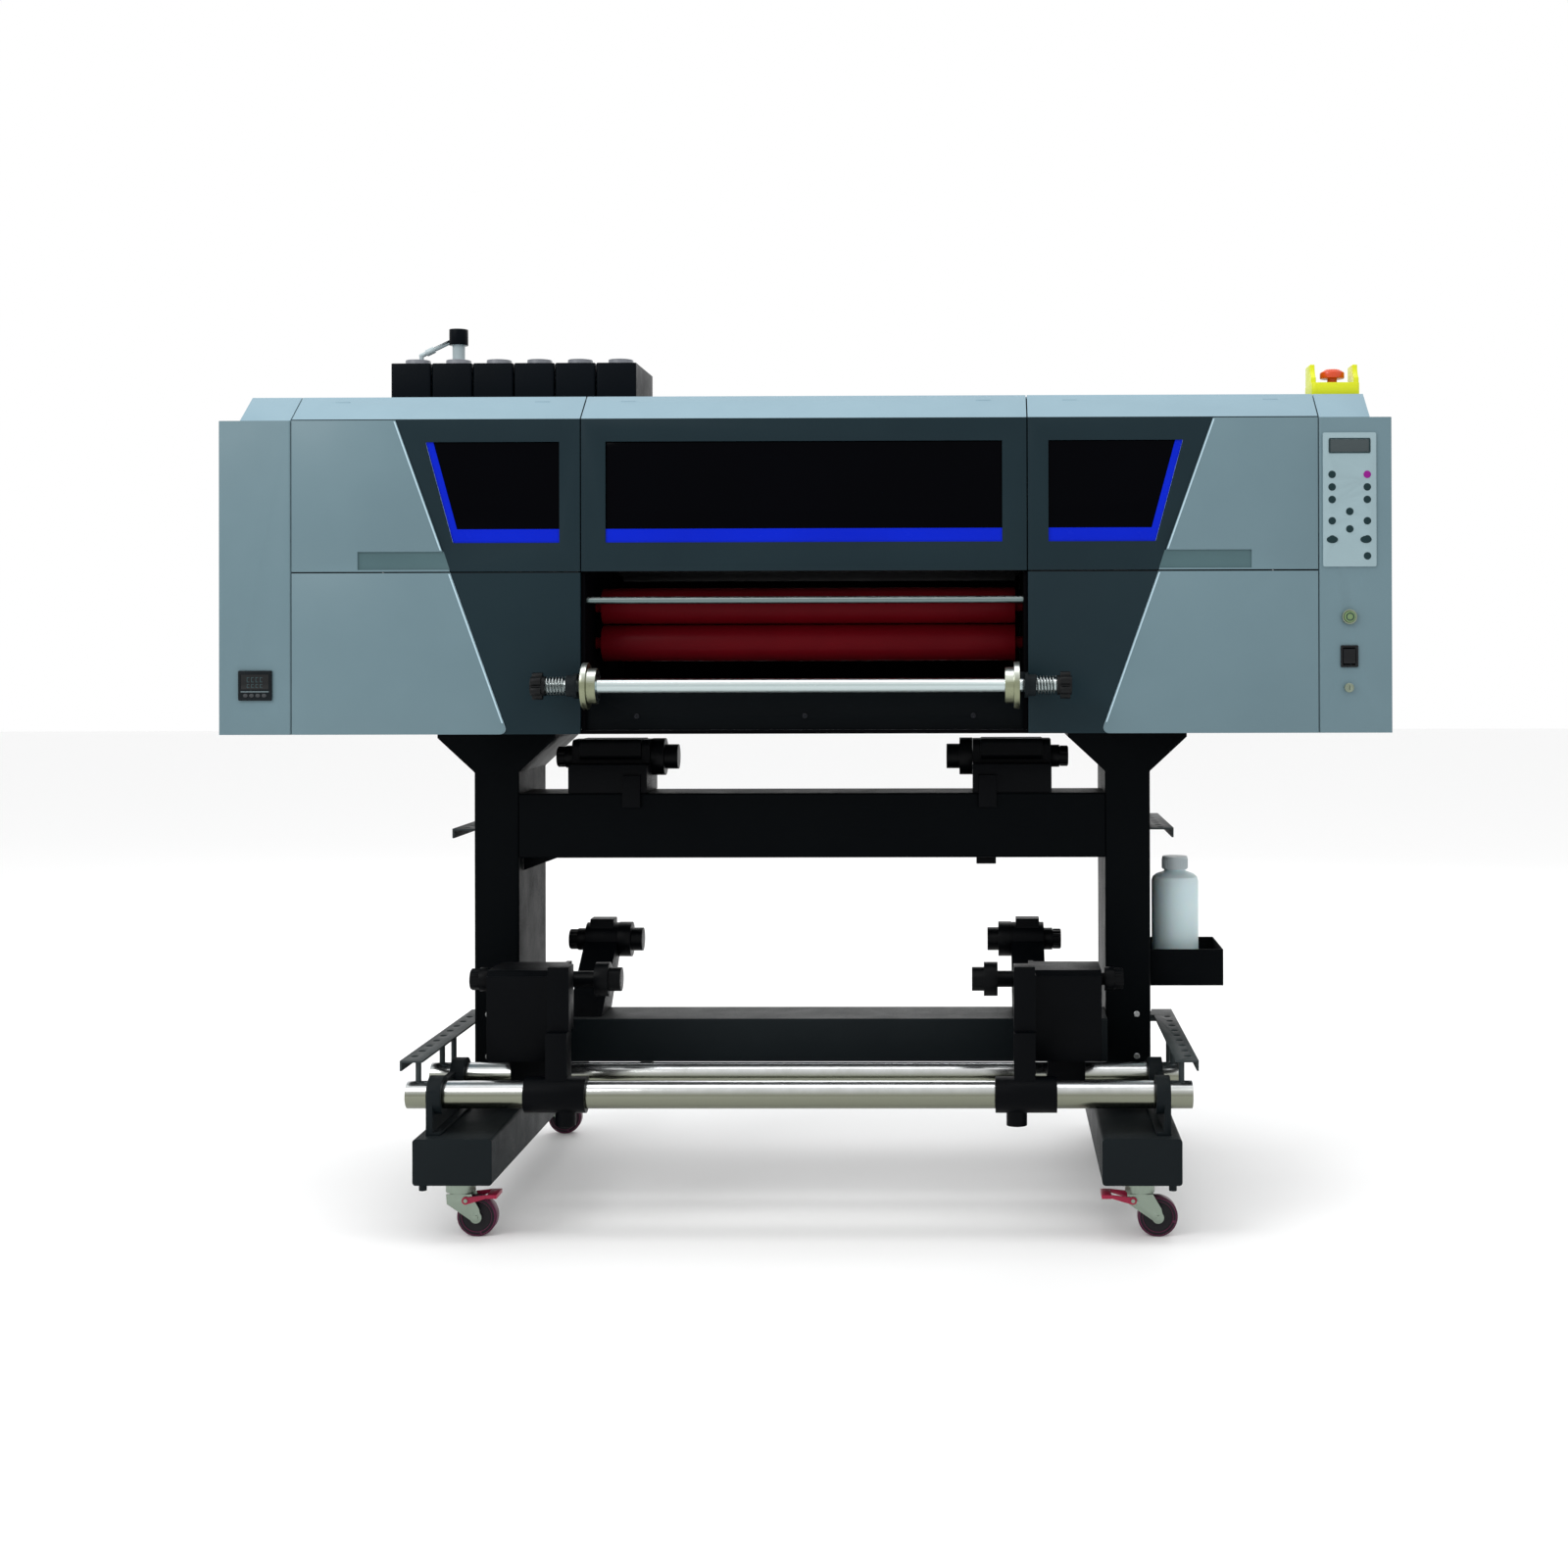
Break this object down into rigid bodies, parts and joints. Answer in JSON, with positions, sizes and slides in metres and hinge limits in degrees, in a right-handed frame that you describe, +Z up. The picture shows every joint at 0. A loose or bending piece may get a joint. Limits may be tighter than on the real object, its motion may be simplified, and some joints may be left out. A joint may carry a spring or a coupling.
{
  "type": "roll film printer and laminator",
  "caption": "Wide roll-to-roll film printer with lift-up covers, laminating rollers, film shaft and adjustable roll holders on a caster stand.",
  "frame": {"origin": "on the floor, under the middle of the machine's bounding box", "axes": "+X to the right seen from the operator's side, +Z up, the operator stands on the -Y side"},
  "size_m": [1.88, 0.8, 1.48],
  "materials": {
    "stand_black": "satin powder coat",
    "chrome_tube": "polished",
    "arm_grey": "satin",
    "bottle_white": "translucent satin",
    "cap_white": "satin",
    "caster_zinc": "zinc plated",
    "wheel_maroon": "satin polyurethane",
    "pedal_red": "gloss",
    "holder_black": "moulded, satin",
    "chuck_black": "moulded, satin",
    "light_skin": "satin paint",
    "dark_skin": "satin paint",
    "hood_skin": "satin paint",
    "apron_black": "satin paint",
    "roller_red": "ground silicone",
    "shaft_steel": "ground",
    "spring_steel": "zinc plated",
    "knob_black": "satin",
    "keypad_film": "printed film",
    "meter_black": "satin",
    "stop_yellow": "gloss",
    "stop_red": "gloss",
    "start_green": "gloss, lit",
    "switch_black": "satin",
    "bezel_metal": "polished",
    "tank_black": "blow moulded",
    "stirrer_black": "satin",
    "chassis_zinc": "zinc plated",
    "beam_alu": "anodised",
    "carriage_dark": "satin",
    "platen_alu": "anodised",
    "feed_rubber": "matte",
    "cap_dark": "matte"
  },
  "bodies": {
    "machine": {"feet": "stand_black", "legs": "stand_black", "crossbars": "stand_black", "tube_end_plates": "stand_black", "bottle_tray": "stand_black", "shaft_brackets": "stand_black", "guide_tubes": "chrome_tube", "side_arms": "arm_grey", "end_cabinets": "light_skin", "lower_panels": "dark_skin", "top_hood": "hood_skin", "apron": "apron_black", "guide_bar": "shaft_steel", "keypad": "keypad_film", "temp_controller": "meter_black", "e_stop_box": "stop_yellow", "switch_bezels": "bezel_metal", "ink_tanks": "tank_black", "ink_stirrer": "stirrer_black", "chassis": "chassis_zinc", "gantry_beam": "beam_alu", "platen": "platen_alu"},
    "waste_bottle": {"waste_bottle": "bottle_white"},
    "bottle_cap": {"bottle_cap": "cap_white"},
    "fork_fl": {"fork_fl": "caster_zinc"},
    "fork_fr": {"fork_fr": "caster_zinc"},
    "fork_rl": {"fork_rl": "caster_zinc"},
    "fork_rr": {"fork_rr": "caster_zinc"},
    "wheel_fl": {"wheel_fl": "wheel_maroon"},
    "wheel_fr": {"wheel_fr": "wheel_maroon"},
    "wheel_rl": {"wheel_rl": "wheel_maroon"},
    "wheel_rr": {"wheel_rr": "wheel_maroon"},
    "pedal_fl": {"pedal_fl": "pedal_red"},
    "pedal_fr": {"pedal_fr": "pedal_red"},
    "upper_holder_l": {"upper_holder_l": "holder_black"},
    "upper_holder_r": {"upper_holder_r": "holder_black"},
    "mid_holder_l": {"mid_holder_l": "holder_black"},
    "mid_holder_r": {"mid_holder_r": "holder_black"},
    "lower_holder_l": {"lower_holder_l": "holder_black"},
    "lower_holder_r": {"lower_holder_r": "holder_black"},
    "upper_chuck_l": {"upper_chuck_l": "chuck_black"},
    "upper_chuck_r": {"upper_chuck_r": "chuck_black"},
    "mid_chuck_l": {"mid_chuck_l": "chuck_black"},
    "mid_chuck_r": {"mid_chuck_r": "chuck_black"},
    "lower_chuck_l": {"lower_chuck_l": "chuck_black"},
    "lower_chuck_r": {"lower_chuck_r": "chuck_black"},
    "left_cover": {"left_cover": "dark_skin"},
    "centre_cover": {"centre_cover": "dark_skin"},
    "right_cover": {"right_cover": "dark_skin"},
    "lower_roller": {"lower_roller": "roller_red"},
    "upper_roller": {"upper_roller": "roller_red"},
    "e_stop_button": {"e_stop_button": "stop_red"},
    "start_button": {"start_button": "start_green"},
    "power_switch": {"power_switch": "switch_black"},
    "carriage": {"carriage": "carriage_dark"},
    "feed_roller": {"feed_roller": "feed_rubber"},
    "cap_station": {"cap_station": "cap_dark"},
    "film_shaft": {"film_shaft": "shaft_steel", "tension_springs": "spring_steel", "tension_knobs": "knob_black"}
  },
  "joints": [
    {"name": "left_cover_lift", "type": "hinge", "parent": "machine", "child": "left_cover", "pos_m": [0, -0.178, 1.311], "axis": [-1, 0, 0], "range_deg": [0, 75]},
    {"name": "centre_cover_lift", "type": "hinge", "parent": "machine", "child": "centre_cover", "pos_m": [0, -0.178, 1.311], "axis": [-1, 0, 0], "range_deg": [0, 75]},
    {"name": "right_cover_lift", "type": "hinge", "parent": "machine", "child": "right_cover", "pos_m": [0, -0.178, 1.311], "axis": [-1, 0, 0], "range_deg": [0, 75]},
    {"name": "carriage_travel", "type": "slide", "parent": "machine", "child": "carriage", "axis": [-1, 0, 0], "range_m": [0, 1.24]},
    {"name": "feed_turn", "type": "hinge", "parent": "machine", "child": "feed_roller", "pos_m": [0, 0.08, 1.045], "axis": [1, 0, 0], "continuous": true},
    {"name": "lower_roller_turn", "type": "hinge", "parent": "machine", "child": "lower_roller", "pos_m": [0, -0.14, 0.92], "axis": [1, 0, 0], "continuous": true},
    {"name": "upper_roller_turn", "type": "hinge", "parent": "machine", "child": "upper_roller", "pos_m": [0, -0.14, 0.981], "axis": [1, 0, 0], "continuous": true},
    {"name": "film_shaft_turn", "type": "hinge", "parent": "machine", "child": "film_shaft", "pos_m": [0, -0.3, 0.852], "axis": [1, 0, 0], "continuous": true},
    {"name": "cap_lift", "type": "slide", "parent": "machine", "child": "cap_station", "axis": [0, 0, 1], "range_m": [0, 0.006]},
    {"name": "upper_holder_slide_l", "type": "slide", "parent": "machine", "child": "upper_holder_l", "axis": [1, 0, 0], "range_m": [-0.008, 0.06]},
    {"name": "upper_holder_slide_r", "type": "slide", "parent": "machine", "child": "upper_holder_r", "axis": [1, 0, 0], "range_m": [-0.06, 0.015]},
    {"name": "mid_holder_slide_l", "type": "slide", "parent": "machine", "child": "mid_holder_l", "axis": [1, 0, 0], "range_m": [-0.05, 0.06]},
    {"name": "mid_holder_slide_r", "type": "slide", "parent": "machine", "child": "mid_holder_r", "axis": [1, 0, 0], "range_m": [-0.06, 0.06]},
    {"name": "lower_holder_slide_l", "type": "slide", "parent": "machine", "child": "lower_holder_l", "axis": [1, 0, 0], "range_m": [-0.05, 0.06]},
    {"name": "lower_holder_slide_r", "type": "slide", "parent": "machine", "child": "lower_holder_r", "axis": [1, 0, 0], "range_m": [-0.06, 0.06]},
    {"name": "upper_chuck_turn_l", "type": "hinge", "parent": "upper_holder_l", "child": "upper_chuck_l", "pos_m": [-0.342, -0.03, 0.727], "axis": [1, 0, 0], "continuous": true},
    {"name": "upper_chuck_turn_r", "type": "hinge", "parent": "upper_holder_r", "child": "upper_chuck_r", "pos_m": [0.335, -0.03, 0.727], "axis": [1, 0, 0], "continuous": true},
    {"name": "mid_chuck_turn_l", "type": "hinge", "parent": "mid_holder_l", "child": "mid_chuck_l", "pos_m": [-0.375, 0.05, 0.405], "axis": [1, 0, 0], "continuous": true},
    {"name": "mid_chuck_turn_r", "type": "hinge", "parent": "mid_holder_r", "child": "mid_chuck_r", "pos_m": [0.363, 0.05, 0.405], "axis": [1, 0, 0], "continuous": true},
    {"name": "lower_chuck_turn_l", "type": "hinge", "parent": "lower_holder_l", "child": "lower_chuck_l", "pos_m": [-0.445, -0.242, 0.381], "axis": [1, 0, 0], "continuous": true},
    {"name": "lower_chuck_turn_r", "type": "hinge", "parent": "lower_holder_r", "child": "lower_chuck_r", "pos_m": [0.419, -0.242, 0.381], "axis": [1, 0, 0], "continuous": true},
    {"name": "swivel_fl", "type": "hinge", "parent": "machine", "child": "fork_fl", "pos_m": [-0.5275, -0.345, 0.081], "axis": [0, 0, 1], "continuous": true},
    {"name": "roll_fl", "type": "hinge", "parent": "fork_fl", "child": "wheel_fl", "pos_m": [-0.5005, -0.345, 0.031], "axis": [0, 1, 0], "continuous": true},
    {"name": "swivel_fr", "type": "hinge", "parent": "machine", "child": "fork_fr", "pos_m": [0.5275, -0.345, 0.081], "axis": [0, 0, 1], "continuous": true},
    {"name": "roll_fr", "type": "hinge", "parent": "fork_fr", "child": "wheel_fr", "pos_m": [0.5545, -0.345, 0.031], "axis": [0, 1, 0], "continuous": true},
    {"name": "swivel_rl", "type": "hinge", "parent": "machine", "child": "fork_rl", "pos_m": [-0.5275, 0.345, 0.081], "axis": [0, 0, 1], "continuous": true},
    {"name": "roll_rl", "type": "hinge", "parent": "fork_rl", "child": "wheel_rl", "pos_m": [-0.5005, 0.345, 0.031], "axis": [0, 1, 0], "continuous": true},
    {"name": "swivel_rr", "type": "hinge", "parent": "machine", "child": "fork_rr", "pos_m": [0.5275, 0.345, 0.081], "axis": [0, 0, 1], "continuous": true},
    {"name": "roll_rr", "type": "hinge", "parent": "fork_rr", "child": "wheel_rr", "pos_m": [0.5545, 0.345, 0.031], "axis": [0, 1, 0], "continuous": true},
    {"name": "brake_fl", "type": "hinge", "parent": "fork_fl", "child": "pedal_fl", "pos_m": [-0.5155, -0.345, 0.058], "axis": [0, -1, 0], "range_deg": [0, 10]},
    {"name": "brake_fr", "type": "hinge", "parent": "fork_fr", "child": "pedal_fr", "pos_m": [0.5155, -0.345, 0.058], "axis": [0, 1, 0], "range_deg": [0, 10]},
    {"name": "e_stop_press", "type": "slide", "parent": "machine", "child": "e_stop_button", "axis": [0, 0, -1], "range_m": [0, 0.005]},
    {"name": "start_press", "type": "slide", "parent": "machine", "child": "start_button", "axis": [0, 1, 0], "range_m": [0, 0.003], "stiffness_N_per_m": 400},
    {"name": "power_rock", "type": "hinge", "parent": "machine", "child": "power_switch", "pos_m": [0.871, -0.246, 0.896], "axis": [1, 0, 0], "range_deg": [-10, 10]},
    {"name": "bottle_lift", "type": "slide", "parent": "machine", "child": "waste_bottle", "axis": [0, 0, 1], "range_m": [0, 0.03]},
    {"name": "cap_turn", "type": "hinge", "parent": "waste_bottle", "child": "bottle_cap", "pos_m": [0.616, 0.01, 0.539], "axis": [0, 0, 1], "continuous": true}
  ],
  "couplings": [
    {"joint": "upper_roller_turn", "follows": "lower_roller_turn", "ratio": -1}
  ]
}
